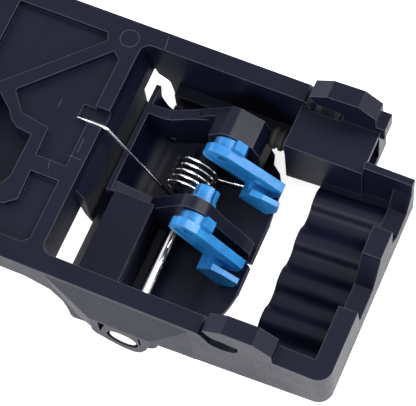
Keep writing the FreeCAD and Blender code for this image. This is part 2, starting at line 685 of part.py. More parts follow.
def front_box(body, front):
    """Closed-top box at the front left, level with the left wall's top."""
    top = f"({AXIS_Z} + panel_height)"
    behind = f"({FRONT_CHEEK} + 1)"
    wall = "paddle_skin"
    roof = [
        at(f"-{LEFT} + 0.5", "panel_height - paddle_skin"),
        at("-panel_right", "panel_height - paddle_skin"),
        at("-panel_right", "panel_height"),
        at(f"-{LEFT} + 0.5", "panel_height"),
    ]
    add(body, "box_roof", "XZ", front, behind, roof)
    side = [
        at(f"-panel_right - {wall}", "-paddle_sag + 1.8"),
        at("-panel_right", "-paddle_sag + 1.4"),
        at("-panel_right", "panel_height - 1"),
        at(f"-panel_right - {wall}", "panel_height - 1"),
    ]
    add(body, "box_side", "XZ", front, behind, side)


def cheeks(body):
    """Front cheek, back cheek with its boss, their low left arms and the barrel between."""
    front_low = FRONT_CHEEK
    front_high = f"({FRONT_CHEEK} + cheek_thick)"
    floor = "-paddle_sag + 1.2"
    front_cheek = [
        at(f"-{LEFT} + 1", "panel_height / 3"),
        at(f"-{LEFT} + 1", "panel_height - 2"),
        at("-13", "panel_height - 7"),
        at("hub_x - 7", "hub_z + 7.6"),
        at("hub_x - 1.5", "hub_z + 9.4"),
        at("hub_x + 5.5", "hub_z + 6.6"),
        at("hub_x + 9.7", "hub_z - 2.5"),
        at("paddle_right - 5", "7.5"),
        at("paddle_right - 1.8", "2"),
        at("paddle_right - 3", "-paddle_sag + 9"),
        at("paddle_right / 2", "-paddle_sag + 3.8"),
        at("0", floor),
        at(f"-{LEFT} + 13", "-paddle_sag + 3.2"),
        at(f"-{LEFT} + 5", "-paddle_sag / 2 + 2"),
    ]
    add(body, "front_cheek", "XZ", front_low, front_high, front_cheek)
    hump = value(f"{AXIS_Z} + 1")
    low, high = value(front_low), value(front_high)
    crest = value(f"{HUB_X} - 9")

    def cheek_line(edge):
        middle = edge.CenterOfMass
        return (runs_along(edge, "Y") and middle.z > hump and middle.x > crest
                and low < middle.y < high and abs(edge.Length - (high - low)) < 1e-3)

    rounded(body, "cheek_crest", "cheek_thick * 0.8", cheek_line)
    back_side(body, floor)
    add(body, "barrel", "XZ", f"{front_high} - 1", f"{BACK_CHEEK} + 1",
        ("circle", AXIS_X, AXIS_Z, "barrel_radius"))
    cut(body, "shaft_bore", "XZ", f"{front_low} - 1", f"{BACK_END} + 1",
        ("circle", AXIS_X, AXIS_Z, "shaft_radius + shaft_play"))
    hub_hole = ("circle", HUB_X, HUB_Z, "hub_radius + hub_play")
    cut(body, "front_hub_hole", "XZ", f"{front_low} - 1", f"{front_high} + 1", hub_hole)
    cut(body, "back_hub_hole", "XZ", f"{BACK_CHEEK} - 1", f"{BACK_END} + 1", hub_hole)
    cut(body, "back_hub_recess", "XZ", f"{BACK_CHEEK} + cheek_thick", f"{BACK_END} + 1",
        ("circle", HUB_X, HUB_Z, "hub_radius + hook_grip + 0.3"))


def back_side(body, floor):
    """Back cheek's faceted boss, its base and the wall that runs from it to the paddle's left side."""
    boss = [
        at("1.9", "17"),
        at("1.9", "27.1"),
        at("8.3", "33.6"),
        at("12.7", "34.7"),
        at("24.3", "29.85"),
        at("boss_right", "21.5"),
        at("boss_right", "5"),
    ]
    add(body, "back_boss", "XZ", BACK_CHEEK, BACK_END, boss)
    base = [
        at("-7", floor),
        at("paddle_right / 2", "-paddle_sag + 3.7"),
        at("boss_right", "5"),
        at("boss_right", "19"),
        at("1.9", "19"),
        at("-3.3", "2"),
    ]
    add(body, "back_base", "XZ", BACK_CHEEK, BACK_END, base)
    rise = [at("-8.6", "16"), at("-8.2", "18.1"), at("2.2", "27.3"), at("2.2", "16")]
    add(body, "arm_rise", "XZ", f"{BACK_END} - 4.4", BACK_END, rise)
    run = [
        ("2.2", "-4"),
        ("-3.6", "-4.5"),
        ("-10.5", "-6.8"),
        ("-15.8", "-9.3"),
        ("-19", "-10.8"),
        ("-22", "-11.5"),
    ]
    back_run = [
        ("-22", "-6.3"),
        ("-19.5", "-5.4"),
        ("-14", "-3"),
        ("-9.5", "-0.9"),
        ("-6", "0"),
        ("2.2", "0"),
    ]

    def plan(corners):
        return [(f"{AXIS_X} + ({x})", f"{BACK_END} + ({y})") for x, y in corners]

    left_end = [("-27", "-11.7"), (f"-{LEFT} + 1", "-11.4"), (f"-{LEFT} + 1", "-6.9"), ("-27", "-6.5")]
    add(body, "back_arm", "XY", f"{AXIS_Z} - 4", f"{AXIS_Z} + panel_height", plan(run + left_end + back_run))
    add(body, "arm_foot", "XY", f"{AXIS_Z} - 11.2", f"{AXIS_Z} - 3",
        plan(run[:-1] + [("-20.3", "-11.1"), ("-20.3", "-5.7")] + back_run[1:]))
    corner = [
        at(f"-{LEFT} + 2", "-3.5"),
        at(f"-{LEFT} + 5", "-paddle_sag / 2 + 2"),
        at(f"-{LEFT} + 13", "-paddle_sag + 3.2"),
        at(f"-{LEFT} + 14.5", "-3"),
    ]
    add(body, "arm_corner", "XZ", f"{BACK_END} - 11.4", f"{BACK_END} - 6.6", corner)


def edges(body, back):
    """Bevel of the box's left end, and plan outline at the back left and along the right edge."""
    fill = [at(f"-{LEFT} + 2.2", "11"), at(f"-{LEFT} + 2.2", "16"), at(f"-{LEFT} + 7", "16")]
    front = f"(-{INNER} + side_play)"
    add(body, "bevel_fill", "XZ", front, f"{FRONT_CHEEK} + 1", fill)
    bevel = [
        at(f"-{LEFT} - 3", "8"),
        at(f"-{LEFT} - 0.2", "11.7"),
        at(f"-{LEFT} + 4.6", "panel_height + 0.2"),
        at(f"-{LEFT} + 4.6", "panel_height + 2"),
        at(f"-{LEFT} - 3", "panel_height + 2"),
    ]
    cut(body, "box_bevel", "XZ", f"{front} - 1", FRONT_CHEEK, bevel)
    cut(body, "back_left_cut", "XY", "0", f"{AXIS_Z} + panel_height + 1",
        box(f"{AXIS_X} - {LEFT} - 16", f"{AXIS_X} - 27", f"{BACK_END} + 3.5", f"{back} + 1"))
    edge = f"({AXIS_X} + paddle_right)"
    step = [
        (f"{edge} - 16.5", f"{back} + 1"),
        (f"{edge} - 14.9", f"{BACK_END} + 2.6"),
        (f"{edge} - 12.4", f"{BACK_END} + 0.4"),
        (f"{edge} - 10.9", f"{BLOCK} + 4.6"),
        (f"{edge} - 5.8", f"{BLOCK} + 0.4"),
        (f"{edge} - 1.9", f"{BLOCK} - 6.5"),
        (f"{edge} - 0.2", f"{BLOCK} - 25"),
        (f"{edge} + 1", f"{BLOCK} - 25"),
        (f"{edge} + 1", f"{back} + 1"),
    ]
    nick = [
        (f"{edge} - 3.6", f"{MIDDLE} - 12.4"),
        (f"{edge} + 1", f"{MIDDLE} - 15.2"),
        (f"{edge} + 1", f"{MIDDLE} - 12.4"),
    ]
    corner = [
        (f"{edge} + 1", f"-{INNER} + 28"),
        (f"{edge} - 0.2", f"-{INNER} + 27"),
        (f"{edge} - 1.1", f"-{INNER} + 21.8"),
        (f"{edge} - 2.2", f"-{INNER} + 17.8"),
        (f"{edge} - 4.2", f"-{INNER} + 13.2"),
        (f"{edge} - 7.2", f"-{INNER} + 8.7"),
        (f"{edge} - 11.2", f"-{INNER} + 4.7"),
        (f"{edge} - 15.5", f"-{INNER} + 2"),
        (f"{edge} - 15.5", f"-{INNER} - 1"),
        (f"{edge} + 1", f"-{INNER} - 1"),
    ]
    cut(body, "right_edge", "XY", "0", f"{AXIS_Z} + 8", step, nick, corner)


def make_shaft():
    """Headed pivot shaft, its head in the front boss."""
    body = new_body("pivot_shaft")
    add(body, "shank", "XZ", f"-{SEAT}", f"{SEAT} + ring_thick + shaft_tail",
        ("circle", AXIS_X, AXIS_Z, "shaft_radius"))
    add(body, "head", "XZ", f"-{SEAT} - head_thick", f"-{SEAT}",
        ("circle", AXIS_X, AXIS_Z, "head_radius"))
    rounded(body, "head_edge", "head_thick / 4",
            lambda e: near(e, "Y", f"-{SEAT} - head_thick") and isinstance(e.Curve, Part.Circle))
    rounded(body, "tail_edge", "head_thick / 4",
            lambda e: near(e, "Y", f"{SEAT} + ring_thick + shaft_tail") and isinstance(e.Curve, Part.Circle))
    return body


def make_ring():
    """Push-on ring that keeps the shaft in the back boss, with gripping tongues inside."""
    body = new_body("shaft_retainer")
    add(body, "ring", "XZ", SEAT, f"{SEAT} + ring_thick",
        ("circle", AXIS_X, AXIS_Z, "ring_radius"), ("circle", AXIS_X, AXIS_Z, "shaft_radius"))
    before = body.Tip
    slit_outline = box(f"{AXIS_X} - 0.5", f"{AXIS_X} + 0.5", f"{AXIS_Z} + shaft_radius - 0.5",
                       f"{AXIS_Z} + ring_radius - 1.4")
    slit = cut(body, "slit", "XZ", f"{SEAT} - 1", f"{SEAT} + ring_thick + 1", slit_outline)
    across = [
        (f"{AXIS_X} - 0.5", f"{AXIS_Z} - ring_radius + 1.4"),
        (f"{AXIS_X} + 0.5", f"{AXIS_Z} - ring_radius + 1.4"),
        (f"{AXIS_X} + 0.5", f"{AXIS_Z} - shaft_radius + 0.5"),
        (f"{AXIS_X} - 0.5", f"{AXIS_Z} - shaft_radius + 0.5"),
    ]
    cut(body, "slit_below", "XZ", f"{SEAT} - 1", f"{SEAT} + ring_thick + 1", across)
    return body


def make_rod_clip(name, seat, tilt):
    """Rod clip, drawn level with its hub at the origin and its cheek at y = 0, then placed."""
    body = new_body(name)
    flange = "(-clip_gap - flange_thick)"
    face = "(-clip_gap - flange_thick - arm_thick)"
    fork = f"({face} - 2 * rod_radius - prong_thick)"
    far = "(cheek_thick + hub_past)"
    arm_outline = [
        ("-arm_tail - arm_half", "-arm_half + 1"),
        ("fork_start", "-arm_half + 1"),
        ("arm_long - 1.5", "-arm_half + 1"),
        ("arm_long", "2"),
        ("arm_long - 3", "arm_half + 1"),
        ("-1.5", "arm_half + 0.4"),
        ("-arm_tail - arm_half", "arm_half - 3.5"),
    ]
    add(body, "arm", "XZ", face, flange, arm_outline)
    rounded(body, "arm_tail_round", "arm_half * 0.7",
            lambda e: runs_along(e, "Y") and near(e, "X", "-arm_tail - arm_half"))
    hub(body, flange, far)
    notch = "(fork_start + fork_web + rod_radius)"
    web = [
        ("fork_start", "-arm_half"),
        (notch, "-arm_half"),
        (notch, "arm_half - 3.2"),
        ("fork_start + 3", "arm_half - 3.2"),
        ("fork_start", "arm_half - 5"),
    ]
    add(body, "fork_web", "XZ", fork, f"{face} + 1", web)
    prong = [
        ("fork_start", "-arm_half"),
        ("arm_long + 1", "-arm_half"),
        ("arm_long + 1.6", "2"),
        ("arm_long - 2", "arm_half + 1"),
        ("fork_start + 5", "arm_half - 1.5"),
        ("fork_start", "arm_half - 5"),
    ]
    add(body, "outer_prong", "XZ", fork, f"{fork} + prong_thick", prong)
    cut(body, "fork_notch", "XY", "-arm_half - 1", "arm_half + 2",
        ("circle", notch, f"{face} - rod_radius", "rod_radius"))
    cut(body, "rod_groove", "YZ", "fork_start - 8", "arm_long + 3",
        ("circle", f"{face} - rod_radius", "0", "rod_radius"))
    mouth = box(f"{face} - 2 * rod_radius + 0.4", f"{face} - 0.4", "0", "arm_half + 2")
    cut(body, "groove_mouth", "YZ", "fork_start - 8", "arm_long + 3", mouth)
    panel = [
        ("-arm_tail - arm_half + 3", "-arm_half + 3.4"),
        ("fork_start - 1.5", "-arm_half + 3.4"),
        ("fork_start - 1.5", "arm_half - 2"),
        ("-1", "arm_half - 2"),
        ("-arm_tail - arm_half + 3", "arm_half - 5.5"),
    ]
    cut(body, "arm_panel", "XZ", face, f"{face} + 1.2", panel)
    cut(body, "rod_bore", "XZ", f"{face} - 1", f"{far} + 1", ("circle", "0", "0", "rod_radius"))
    body.setExpression("Placement.Base.x", bound(HUB_X))
    body.setExpression("Placement.Base.y", bound(seat))
    body.setExpression("Placement.Base.z", bound(HUB_Z))
    body.setExpression("Placement.Rotation.Axis.x", "0")
    body.setExpression("Placement.Rotation.Axis.y", "1")
    body.setExpression("Placement.Rotation.Axis.z", "0")
    body.setExpression("Placement.Rotation.Angle", bound(tilt))
    doc.recompute()
    return body


def hub(body, flange, far):
    """Flange before the cheek, then the split hub with its snap hooks behind the cheek."""
    add(body, "flange", "XZ", flange, "-clip_gap", ("circle", "0", "0", "flange_radius"))
    tooth = [
        ("-0.7", "flange_radius - 3"),
        ("-1.1", "flange_radius + 3.6"),
        ("4.8", "flange_radius + 3.1"),
        ("flange_radius + 1", "4.4"),
        ("flange_radius - 1.5", "1"),
    ]
    add(body, "flange_tooth", "XZ", flange, "-clip_gap", tooth)
    add(body, "hub", "XZ", "-clip_gap - 1", far, ("circle", "0", "0", "hub_radius"))
    add(body, "hooks", "XZ", "cheek_thick + clip_gap", "cheek_thick + clip_gap + hook_long",
        ("circle", "0", "0", "hub_radius + hook_grip"))
    slots_level = "cheek_thick - 1.5"
    cut(body, "finger_slots", "XZ", slots_level, f"{far} + 1",
        box("-slot_wide / 2", "slot_wide / 2", "-hub_radius - 2", "hub_radius + 2"))
    cut(body, "cross_slots", "XZ", slots_level, f"{far} + 1",
        box("-hub_radius - 2", "hub_radius + 2", "-slot_wide / 2", "slot_wide / 2"))


def make_stop():
    """Ribbed rubber stop between the corner block and the paddle's back boss."""
    body = new_body("rubber_stop")
    tip = f"({BOSS_RIGHT} + stop_gap)"
    foot = from_end("block_inset")
    z = STOP_Z
    groove = f"(({foot} - {tip}) / 5)"
    outer = f"({z} + stop_radius)"
    inner = f"({z} + stop_radius - stop_groove)"
    outline = [
        (tip, z),
        (tip, f"{z} + stop_radius - stop_groove * 1.5"),
        (f"{tip} + stop_groove * 1.5", outer),
        (f"{tip} + {groove} * 1.6", outer),
        (f"{tip} + {groove} * 1.9", inner),
        (f"{tip} + {groove} * 2.3", inner),
        (f"{tip} + {groove} * 2.6", outer),
        (f"{tip} + {groove} * 3.3", outer),
        (f"{tip} + {groove} * 3.6", inner),
        (f"{tip} + {groove} * 4", inner),
        (f"{tip} + {groove} * 4.3", outer),
        (foot, outer),
        (foot, f"{z} + stem_radius"),
        (f"{foot} + block_wall", f"{z} + stem_radius"),
        (f"{foot} + block_wall", z),
    ]
    sketch = new_sketch(body, "stop_outline", "XZ", f"{MIDDLE} + stop_y", [outline])
    turned = body.newObject("PartDesign::Revolution", "ribbed_stop")
    turned.Profile = sketch
    turned.ReferenceAxis = (sketch, ["Edge15"])
    turned.Angle = 360.0
    settle(turned)
    return body


def arc_between(start, heading, end):
    """The arc that leaves start along heading and ends at end, and its heading there."""
    chord = end - start
    along = chord * (1 / chord.Length)
    aside = heading - along * heading.dot(along)
    if aside.Length < 1e-9:
        return Part.LineSegment(start, end), FreeCAD.Vector(heading)
    lean = math.atan2(aside.Length, heading.dot(along))
    aside.normalize()
    middle = (start + end) * 0.5 + aside * (chord.Length / 2 * math.tan(lean / 2))
    return Part.Arc(start, middle, end), (along * (2 * heading.dot(along)) - heading)


def biarc(start, heading, end, leaving):
    """Two tangent arcs from one point and heading to another."""
    gap = end - start
    both = heading + leaving
    square = 2 * (heading.dot(leaving) - 1)
    linear = -2 * gap.dot(both)
    level = gap.dot(gap)
    if abs(square) < 1e-12:
        reach = -level / linear
    else:
        reach = (-linear - math.sqrt(linear * linear - 4 * square * level)) / (2 * square)
        if reach <= 0:
            reach = (-linear + math.sqrt(linear * linear - 4 * square * level)) / (2 * square)
    joint = (start + heading * reach + end - leaving * reach) * 0.5
    first, turned = arc_between(start, heading, joint)
    second, turned = arc_between(joint, turned, end)
    return [first, second]


def spring_path():
    """The wire's middle line: hook over the plate, leg, coil and the leg along the paddle."""
    radius = value("coil_radius")
    centre = FreeCAD.Vector(value(f"{AXIS_X} - coil_left"), value(COIL_Y), value(f"{AXIS_Z} + coil_up"))
    rise = value("coil_pitch") / (2 * math.pi)
    seat = value(f"{RIM} - 2 * wire_radius - recess_depth / 6 + wire_radius + seat_gap")
    hook_y = value(HOOK_Y)
    bend = value("bend_radius")
    corner = FreeCAD.Vector(value(f"{WELL} + bend_radius * 0.7"), hook_y, seat)
    # The leg leaves the coil where its line through the hook's corner touches the turn.
    to_corner_x, to_corner_z = corner.x - centre.x, corner.z - centre.z
    distance = math.hypot(to_corner_x, to_corner_z)
    start_angle = math.atan2(to_corner_z, to_corner_x) + math.acos(radius / distance)

    def on_coil(angle):
        turned = angle - start_angle
        return centre + FreeCAD.Vector(radius * math.cos(angle), rise * turned, radius * math.sin(angle))

    def coil_heading(angle):
        heading = FreeCAD.Vector(-radius * math.sin(angle), rise, radius * math.cos(angle))
        return heading.normalize()

    slope = math.radians(value("leg_slope"))
    end_angle = 1.5 * math.pi + slope
    while end_angle < start_angle + value("coil_turns") * 2 * math.pi:
        end_angle += 2 * math.pi
    first = on_coil(start_angle)
    down = first - corner
    down.normalize()
    back = FreeCAD.Vector(1, 0, 0)
    turn = math.acos(back.dot(down))
    trim = bend * math.tan(turn / 2)
    hook_end = corner - back * value("hook_length")
    bend_start = corner - back * trim
    bend_end = corner + down * trim
    path = [Part.LineSegment(hook_end, bend_start)]
    path.append(arc_between(bend_start, back, bend_end)[0])
    settle_at = start_angle + math.pi / 8
    lead = first - down * (radius * math.tan(math.pi / 16))
    path.append(Part.LineSegment(bend_end, lead))
    path += biarc(lead, down, on_coil(settle_at), coil_heading(settle_at))
    quarters = math.ceil((end_angle - settle_at) / (math.pi / 2))
    step = (end_angle - settle_at) / quarters
    for number in range(quarters):
        here, there = settle_at + number * step, settle_at + (number + 1) * step
        path += biarc(on_coil(here), coil_heading(here), on_coil(there), coil_heading(there))
    leave = on_coil(end_angle)
    path.append(Part.LineSegment(leave, leave + coil_heading(end_angle) * value("leg_reach")))
    return path


def least_gap(path, wire):
    """Smallest distance between stretches of the wire that are not neighbours."""
    spots = []
    walked = 0.0
    last = None
    for piece in path:
        for place in piece.discretize(9):
            if last is not None:
                walked += (place - last).Length
            spots.append((walked, place))
            last = place
    apart = 8 * wire
    return min((a - b).Length - 2 * wire
               for i, (s, a) in enumerate(spots) for t, b in spots[i + 1:] if t - s > apart)


def make_spring():
    """Return spring as one unbroken round wire along its path."""
    path = spring_path()
    wire = value("wire_radius")
    print("spring least gap to itself", round(least_gap(path, wire), 2), "mm")
    spine = Part.Wire([piece.toShape() for piece in path])
    start = path[0].StartPoint
    ring = Part.Circle(start, path[0].EndPoint - start, wire)
    sweep = Part.BRepOffsetAPI.MakePipeShell(spine)
    sweep.add(Part.Wire([ring.toShape()]))
    sweep.build()
    sweep.makeSolid()
    feature = doc.addObject("Part::Feature", "return_spring")
    feature.Label = "return_spring"
    feature.Shape = sweep.shape()
    return feature


parts = [
    make_housing(),
    make_paddle(),
    make_shaft(),
    make_ring(),
    make_rod_clip("front_rod_clip", FRONT_CHEEK, "front_tilt"),
    make_rod_clip("back_rod_clip", BACK_CHEEK, "back_tilt"),
    make_stop(),
    make_spring(),
]
doc.recompute()
for item in doc.Objects:
    assert "Invalid" not in item.State and "Error" not in item.State, f"{item.Name} failed"
for piece in parts:
    assert not piece.Shape.isNull() and piece.Shape.isValid(), f"{piece.Label} has no valid shape"
    assert len(piece.Shape.Solids) == 1, f"{piece.Label} is not one solid"
    piece.Shape.exportStep(f"parts/{piece.Label}.step")
    extent = piece.Shape.BoundBox
    print(piece.Label, "volume", round(piece.Shape.Volume), "mm3",
          [round(v, 1) for v in (extent.XMin, extent.XMax, extent.YMin, extent.YMax, extent.ZMin, extent.ZMax)])
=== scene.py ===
import math

import bmesh
import bpy
from mathutils import Matrix, Vector


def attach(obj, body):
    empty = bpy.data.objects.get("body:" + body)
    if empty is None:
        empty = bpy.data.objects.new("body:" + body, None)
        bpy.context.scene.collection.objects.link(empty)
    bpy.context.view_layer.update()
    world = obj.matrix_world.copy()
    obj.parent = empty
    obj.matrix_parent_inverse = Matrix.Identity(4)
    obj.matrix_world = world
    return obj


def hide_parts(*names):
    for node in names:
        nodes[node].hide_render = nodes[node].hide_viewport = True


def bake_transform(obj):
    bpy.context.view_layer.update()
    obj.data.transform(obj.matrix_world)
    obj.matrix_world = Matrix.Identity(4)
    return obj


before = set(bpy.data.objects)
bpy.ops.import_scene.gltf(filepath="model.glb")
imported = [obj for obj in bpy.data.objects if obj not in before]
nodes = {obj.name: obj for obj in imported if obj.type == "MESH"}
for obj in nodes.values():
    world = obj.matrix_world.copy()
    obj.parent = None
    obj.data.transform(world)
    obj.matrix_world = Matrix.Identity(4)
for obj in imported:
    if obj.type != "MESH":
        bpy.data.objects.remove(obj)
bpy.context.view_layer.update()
scene = bpy.context.scene
MM = 0.001


# Node helpers ---------------------------------------------------------------

def feed(tree, value, socket):
    """Link another node's output to a socket, or set the socket to a plain value."""
    if isinstance(value, bpy.types.NodeSocket):
        tree.links.new(value, socket)
    else:
        socket.default_value = value


def calculate(tree, operation, first, second):
    """The output of a math node for two sockets or numbers."""
    made = tree.nodes.new("ShaderNodeMath")
    made.operation = operation
    feed(tree, first, made.inputs[0])
    feed(tree, second, made.inputs[1])
    return made.outputs[0]


# Materials ------------------------------------------------------------------

class Finish:
    """A principled material whose colour, gloss and grain come from noise on Object coordinates."""

    def __init__(self, name, colour, roughness, metallic=0.0, specular=0.5):
        self.material = bpy.data.materials.new(name)
        self.material.use_nodes = True
        self.tree = self.material.node_tree
        self.shader = self.tree.nodes["Principled BSDF"]
        self.place = self.tree.nodes.new("ShaderNodeTexCoord").outputs["Object"]
        self.give("Base Color", (*colour, 1))
        self.give("Roughness", roughness)
        self.give("Metallic", metallic)
        self.give("Specular IOR Level", specular)

    def give(self, name, value):
        """Set or link one of the shader's own inputs."""
        feed(self.tree, value, self.shader.inputs[name])

    def node(self, kind, **inputs):
        made = self.tree.nodes.new(kind)
        for name, value in inputs.items():
            feed(self.tree, value, made.inputs[name.replace("_", " ")])
        return made

    def noise(self, scale, detail, stretch=(1, 1, 1)):
        mapping = self.node("ShaderNodeMapping", Vector=self.place, Scale=stretch)
        return self.node("ShaderNodeTexNoise", Vector=mapping.outputs[0], Scale=scale, Detail=detail).outputs[0]

    def shades(self, factor, dark, pale, start=0.3, end=0.7):
        """A colour between two as the factor goes from start to end."""
        ramp = self.node("ShaderNodeValToRGB", Fac=factor)
        for element, position, colour in zip(ramp.color_ramp.elements, (start, end), (dark, pale)):
            element.position = position
            element.color = (*colour, 1)
        return ramp.outputs[0]

    def spread(self, factor, low, high):
        """The factor's range from nought to one, laid over another range."""
        return self.node("ShaderNodeMapRange", Value=factor, To_Min=low, To_Max=high).outputs[0]

    def corners(self, reach, bare=0.95, full=0.6):
        """One along outer corners, within the reach of them, and nought elsewhere."""
        inside = self.node("ShaderNodeAmbientOcclusion", Distance=reach)
        inside.inside = True
        inside.samples = 8
        return self.node("ShaderNodeMapRange", Value=inside.outputs["AO"], From_Min=bare, From_Max=full,
                         To_Min=0.0, To_Max=1.0).outputs[0]

    def mixed(self, factor, first, second):
        """The first colour where the factor is nought and the second where it is one."""
        mix = self.tree.nodes.new("ShaderNodeMix")
        mix.data_type = "RGBA"
        colour_inputs = [socket for socket in mix.inputs if socket.type == "RGBA"]
        feed(self.tree, factor, mix.inputs[0])
        feed(self.tree, first, colour_inputs[0])
        feed(self.tree, second, colour_inputs[1])
        return next(socket for socket in mix.outputs if socket.type == "RGBA")

    def grain(self, height, strength, distance, edge):
        """Bump from a height, over edges that are rounded by a radius."""
        bevel = self.node("ShaderNodeBevel", Radius=edge)
        bevel.samples = 6
        bump = self.node("ShaderNodeBump", Height=height, Strength=strength, Distance=distance,
                         Normal=bevel.outputs[0])
        self.give("Normal", bump.outputs[0])


def moulded_black():
    """Near-black nylon with a faint blue cast, fine grain, flow marks, tool lines and a painted highlight along
    outer corners.
    """
    finish = Finish("moulded_black", (0.003, 0.004, 0.012), 0.4, specular=0.165)
    edge_highlight_colour = (0.085, 0.088, 0.115, 1)
    edge_highlight_width = 0.0004
    tool_lines = finish.noise(420, 2, (1, 0.03, 1))
    flow_marks = finish.noise(26, 4, (1, 0.5, 1))
    body = finish.shades(flow_marks, (0.002, 0.003, 0.011), (0.005, 0.006, 0.018))
    # painted highlight: a pale grey along outer corners, broken by noise, stands in for light catching rounded
    # edges
    painted_edge_highlight = calculate(finish.tree, "MULTIPLY", finish.corners(edge_highlight_width),
                       finish.spread(finish.noise(230, 3), 0.3, 1.1))
    finish.give("Base Color", finish.mixed(painted_edge_highlight, body, edge_highlight_colour))
    finish.give("Roughness", calculate(finish.tree, "ADD", finish.spread(finish.noise(60, 4), 0.27, 0.43),
                                       finish.spread(tool_lines, 0.0, 0.12)))
    finish.grain(calculate(finish.tree, "ADD", finish.noise(1900, 3), tool_lines), 0.12, 0.0004, 0.00045)
    return finish.material


def moulded_blue():
    """Sky-blue acetal with slight flow marks and a soft sheen."""
    finish = Finish("moulded_blue", (0.02, 0.21, 0.55), 0.36, specular=0.42)
    flow_marks = finish.noise(160, 4, (1, 1, 0.4))
    finish.give("Base Color", finish.shades(flow_marks, (0.01, 0.155, 0.43), (0.024, 0.24, 0.58)))
    finish.give("Roughness", finish.spread(finish.noise(300, 3), 0.3, 0.46))
    finish.grain(finish.noise(1500, 2), 0.1, 0.0003, 0.00035)
    return finish.material


def bright_steel(name, stretch):
    """Drawn, polished steel with fine lines along the piece."""
    finish = Finish(name, (0.88, 0.89, 0.91), 0.16, metallic=1.0)
    drawn_lines = finish.noise(900, 2, stretch)
    finish.give("Base Color", finish.shades(drawn_lines, (0.8, 0.81, 0.84), (0.93, 0.94, 0.96)))
    finish.give("Roughness", finish.spread(drawn_lines, 0.1, 0.26))
    finish.grain(drawn_lines, 0.08, 0.0001, 0.0002)
    return finish.material


def black_rubber():
    """Dull rubber with a cloudy bloom."""
    finish = Finish("black_rubber", (0.012, 0.012, 0.013), 0.75, specular=0.3)
    bloom = finish.noise(140, 3)
    finish.give("Base Color", finish.shades(bloom, (0.009, 0.009, 0.01), (0.019, 0.019, 0.02)))
    finish.give("Roughness", finish.spread(bloom, 0.66, 0.85))
    finish.grain(finish.noise(1200, 4), 0.25, 0.0003, 0.0003)
    return finish.material


def dress(material, *names):
    for name in names:
        mesh = nodes[name].data
        mesh.materials.clear()
        mesh.materials.append(material)


black = moulded_black()
along_shaft = (1, 0.02, 1)
all_ways = (1, 1, 1)
dress(black, "housing", "paddle")
dress(moulded_blue(), "front_rod_clip", "back_rod_clip")
dress(bright_steel("drawn_steel", along_shaft), "pivot_shaft", "shaft_retainer")
dress(bright_steel("spring_wire", all_ways), "return_spring")
dress(black_rubber(), "rubber_stop")


# Mould marks ----------------------------------------------------------------

def bead_tree():
    """A node tree that lays a fine rounded bead along the edges of a mesh."""
    tree = bpy.data.node_groups.new("bead_along_edges", "GeometryNodeTree")
    tree.interface.new_socket("Lines", in_out="INPUT", socket_type="NodeSocketGeometry")
    tree.interface.new_socket("Bead Radius", in_out="INPUT", socket_type="NodeSocketFloat")
    tree.interface.new_socket("Finish", in_out="INPUT", socket_type="NodeSocketMaterial")
    tree.interface.new_socket("Beads", in_out="OUTPUT", socket_type="NodeSocketGeometry")
    given = tree.nodes.new("NodeGroupInput")
    result = tree.nodes.new("NodeGroupOutput")
    curves = tree.nodes.new("GeometryNodeMeshToCurve")
    profile = tree.nodes.new("GeometryNodeCurvePrimitiveCircle")
    sweep = tree.nodes.new("GeometryNodeCurveToMesh")
    real = tree.nodes.new("GeometryNodeRealizeInstances")
    coat = tree.nodes.new("GeometryNodeSetMaterial")
    for value, socket in (
            (given.outputs["Lines"], curves.inputs[0]),
            (given.outputs["Bead Radius"], profile.inputs["Radius"]),
            (8, profile.inputs["Resolution"]),
            (curves.outputs[0], sweep.inputs["Curve"]),
            (profile.outputs[0], sweep.inputs["Profile Curve"]),
            (True, sweep.inputs["Fill Caps"]),
            (sweep.outputs[0], real.inputs[0]),
            (real.outputs[0], coat.inputs["Geometry"]),
            (given.outputs["Finish"], coat.inputs["Material"]),
            (coat.outputs[0], result.inputs[0])):
        feed(tree, value, socket)
    return tree


def set_input(modifier, name, value):
    for item in modifier.node_group.interface.items_tree:
        if item.item_type == "SOCKET" and item.in_out == "INPUT" and item.name == name:
            modifier[item.identifier] = value


def joined_lines(name, lines):
    """A mesh of edges through lists of points in millimetres; a closed line ends on its first point."""
    points, pairs = [], []
    for line in lines:
        closed = line[0] == line[-1]
        start = len(points)
        run = line[:-1] if closed else line
        points += [Vector(point) * MM for point in run]
        pairs += [(start + k, start + k + 1) for k in range(len(run) - 1)]
        if closed:
            pairs.append((len(points) - 1, start))
    mesh = bpy.data.meshes.new(name)
    mesh.from_pydata(points, pairs, [])
    return mesh


def lay_beads(name, lines, radius, material, body):
    piece = bpy.data.objects.new(name, joined_lines(name + "_path", lines))
    scene.collection.objects.link(piece)
    modifier = piece.modifiers.new("beads", "NODES")
    modifier.node_group = bead_tree()
    set_input(modifier, "Bead Radius", radius * MM)
    set_input(modifier, "Finish", material)
    shaped = piece.evaluated_get(bpy.context.evaluated_depsgraph_get())
    plain = bpy.data.meshes.new_from_object(shaped)
    piece.modifiers.clear()
    piece.data = plain
    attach(piece, body)


def round_mark(middle, radius, height, sides=36):
    """A closed line round an ejector pin's place."""
    corners = [(middle[0] + radius * math.cos(math.tau * k / sides),
                middle[1] + radius * math.sin(math.tau * k / sides), height) for k in range(sides)]
    return corners + corners[:1]


RIM_TOP = 54.0
TRAY_FLOOR = 50.5
MARK_RADIUS = 0.12
lay_beads("mould_marks", [
    round_mark((-33.3, 55.9), 4.5, RIM_TOP),
    [(-50.6, 17.0, TRAY_FLOOR), (-50.6, 12.4, TRAY_FLOOR)],
    [(-34.5, -8.8, RIM_TOP), (-28.3, -8.9, RIM_TOP)],
    [(-41.7, -13.8, RIM_TOP), (-40.4, -18.7, RIM_TOP)],
    [(-31.4, -5.9, RIM_TOP), (-31.4, 1.1, RIM_TOP)],
    [(-16.7, 63.8, RIM_TOP), (-15.6, 57.0, RIM_TOP)],
], MARK_RADIUS, black, "housing")


# Return spring --------------------------------------------------------------

